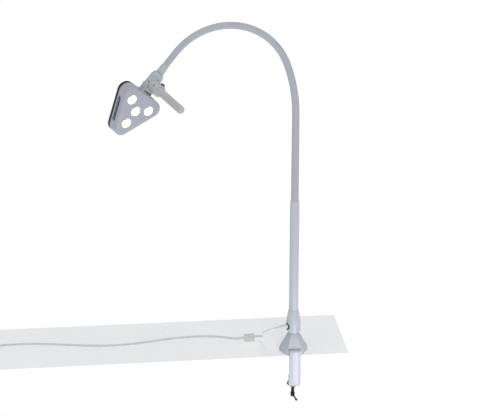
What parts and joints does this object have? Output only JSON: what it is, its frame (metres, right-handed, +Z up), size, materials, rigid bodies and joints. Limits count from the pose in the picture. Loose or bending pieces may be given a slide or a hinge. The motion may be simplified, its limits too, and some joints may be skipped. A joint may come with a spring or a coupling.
{
  "type": "examination lamp",
  "caption": "Clamp-on examination lamp: triangular multi-lens head with grip handle on a flexible arm above a rigid pole, faceted base with table clamp and plug-in supply lead.",
  "frame": {"origin": "middle of the base's underside, on the table top, on the pole's axis", "axes": "+Z up along the pole; -Y out of the table's front edge, the side the clamp plate is on; the arm reaches towards -X"},
  "size_m": [0.861, 0.2864, 0.9368],
  "materials": {
    "white_enamel": "satin powder coat",
    "cast_grey": "satin painted casting",
    "arm_sleeve": "smooth matt sleeve",
    "housing_grey": "satin moulding",
    "grip_grey": "satin moulding",
    "black_cover": "black anodised",
    "panel_navy": "printed film",
    "key_light": "satin key",
    "lens_clear": "clear lens",
    "light_source": "white emitter",
    "reflector_bright": "bright",
    "circuit_board": "solder resist",
    "steel_bright": "turned",
    "steel_dark": "blackened",
    "black_rubber": "matt",
    "black_plastic": "satin",
    "bearing_plastic": "natural nylon",
    "bronze": "sintered",
    "lead_white": "soft cable sheath",
    "lead_moulding": "satin moulding"
  },
  "bodies": {
    "base": {"base_housing": "white_enamel", "base_pad": "black_rubber", "swivel_bush": "bearing_plastic", "base_screws": "steel_dark", "clamp_bracket": "white_enamel", "spindle_nut": "steel_dark", "lock_wheel": "black_plastic", "supply_lead": "lead_white", "lead_choke": "lead_moulding", "lead_coil": "lead_white", "coil_tie": "black_plastic", "lead_tail": "lead_white", "power_adapter": "lead_moulding", "adapter_pins": "steel_bright"},
    "jaw_pad": {"pressure_plate": "steel_dark", "pressure_pad": "black_rubber"},
    "spindle": {"clamp_spindle": "steel_dark"},
    "tommy": {"tommy_bar": "steel_dark"},
    "pole": {"swivel_pin": "steel_bright", "pole_boot": "white_enamel", "supply_socket": "black_plastic", "pole_tube": "white_enamel", "pole_ferrule": "white_enamel", "supply_plug": "lead_moulding", "arm_link_1": "arm_sleeve"},
    "link_2": {"arm_link_2": "arm_sleeve"},
    "link_3": {"arm_link_3": "arm_sleeve"},
    "link_4": {"arm_link_4": "arm_sleeve"},
    "link_5": {"arm_link_5": "arm_sleeve"},
    "link_6": {"arm_link_6": "arm_sleeve"},
    "link_7": {"arm_link_7": "arm_sleeve", "neck_ferrule": "cast_grey"},
    "knuckle": {"knuckle_housing": "cast_grey", "set_screws": "steel_bright", "tilt_bush": "bronze", "handle_boss": "grip_grey", "handle_stud": "steel_bright", "handle_grip": "grip_grey", "handle_end_cap": "grip_grey"},
    "lock": {"lock_button": "black_plastic"},
    "head": {"front_housing": "housing_grey", "rear_cover": "black_cover", "cover_seal": "black_rubber", "head_screws": "steel_dark", "light_board": "circuit_board", "light_chips": "light_source", "reflectors": "reflector_bright", "lenses": "lens_clear", "driver_board": "circuit_board", "key_panel": "panel_navy", "key_switch_strip": "circuit_board", "head_yoke": "cast_grey", "yoke_screws": "steel_dark", "tilt_axle": "steel_dark", "axle_nut": "steel_dark", "friction_washers": "bearing_plastic"},
    "push_key_1": {"key_1": "key_light"},
    "push_key_2": {"key_2": "key_light"},
    "push_key_3": {"key_3": "key_light"},
    "push_key_4": {"key_4": "key_light"}
  },
  "joints": [
    {"name": "pad_feed", "type": "slide", "parent": "base", "child": "jaw_pad", "axis": [0, 0, 1], "range_m": [-0.024, 0.008]},
    {"name": "spindle_turn", "type": "hinge", "parent": "jaw_pad", "child": "spindle", "pos_m": [0, 0, -0.118], "axis": [0, 0, 1], "range_deg": [-961, 2881]},
    {"name": "tommy_slide", "type": "slide", "parent": "spindle", "child": "tommy", "axis": [0.1564, -0.9877, 0], "range_m": [-0.022, 0]},
    {"name": "base_swivel", "type": "hinge", "parent": "base", "child": "pole", "pos_m": [0, 0, 0.048], "axis": [0, 0, 1], "range_deg": [-45, 45]},
    {"name": "arm_bend_1", "type": "hinge", "parent": "pole", "child": "link_2", "pos_m": [0, 0, 0.41], "axis": [0.2079, -0.9781, 0], "range_deg": [-12, 12]},
    {"name": "arm_side_2", "type": "hinge", "parent": "link_2", "child": "link_3", "pos_m": [0, 0, 0.53503], "axis": [-0.9781, -0.2079, 0], "range_deg": [-12, 12]},
    {"name": "arm_bend_3", "type": "hinge", "parent": "link_3", "child": "link_4", "pos_m": [-0.00744, -0.00158, 0.65952], "axis": [0.2079, -0.9781, 0], "range_deg": [-12, 12]},
    {"name": "arm_bend_4", "type": "hinge", "parent": "link_4", "child": "link_5", "pos_m": [-0.06253, -0.01329, 0.76853], "axis": [0.2079, -0.9781, 0], "range_deg": [-12, 12]},
    {"name": "arm_side_5", "type": "hinge", "parent": "link_5", "child": "link_6", "pos_m": [-0.17583, -0.03737, 0.80533], "axis": [0.1013, 0.0215, -0.9946], "range_deg": [-12, 12]},
    {"name": "arm_bend_6", "type": "hinge", "parent": "link_6", "child": "link_7", "pos_m": [-0.27958, -0.05943, 0.74572], "axis": [0.2079, -0.9781, 0], "range_deg": [-12, 12]},
    {"name": "neck_swivel", "type": "hinge", "parent": "link_7", "child": "knuckle", "pos_m": [-0.31551, -0.06706, 0.70345], "axis": [0.6417, 0.1364, 0.7547], "range_deg": [-150, 150]},
    {"name": "head_tilt", "type": "hinge", "parent": "knuckle", "child": "head", "pos_m": [-0.3322, -0.07061, 0.68383], "axis": [0.6226, 0.482, -0.6165], "range_deg": [-20, 75]},
    {"name": "lock_press", "type": "slide", "parent": "knuckle", "child": "lock", "axis": [-0.6417, -0.1364, -0.7547], "range_m": [0, 0.002], "stiffness_N_per_m": 1200, "springref_m": -0.0005},
    {"name": "key_press_1", "type": "slide", "parent": "head", "child": "push_key_1", "axis": [0.8472, 0.491, -0.2029], "range_m": [0, 0.0006], "stiffness_N_per_m": 900, "springref_m": -0.0003},
    {"name": "key_press_2", "type": "slide", "parent": "head", "child": "push_key_2", "axis": [0.8472, 0.491, -0.2029], "range_m": [0, 0.0006], "stiffness_N_per_m": 900, "springref_m": -0.0003},
    {"name": "key_press_3", "type": "slide", "parent": "head", "child": "push_key_3", "axis": [0.8472, 0.491, -0.2029], "range_m": [0, 0.0006], "stiffness_N_per_m": 900, "springref_m": -0.0003},
    {"name": "key_press_4", "type": "slide", "parent": "head", "child": "push_key_4", "axis": [0.8472, 0.491, -0.2029], "range_m": [0, 0.0006], "stiffness_N_per_m": 900, "springref_m": -0.0003}
  ],
  "couplings": [
    {"joint": "spindle_turn", "follows": "pad_feed", "rad_per_m": -2094.4}
  ]
}
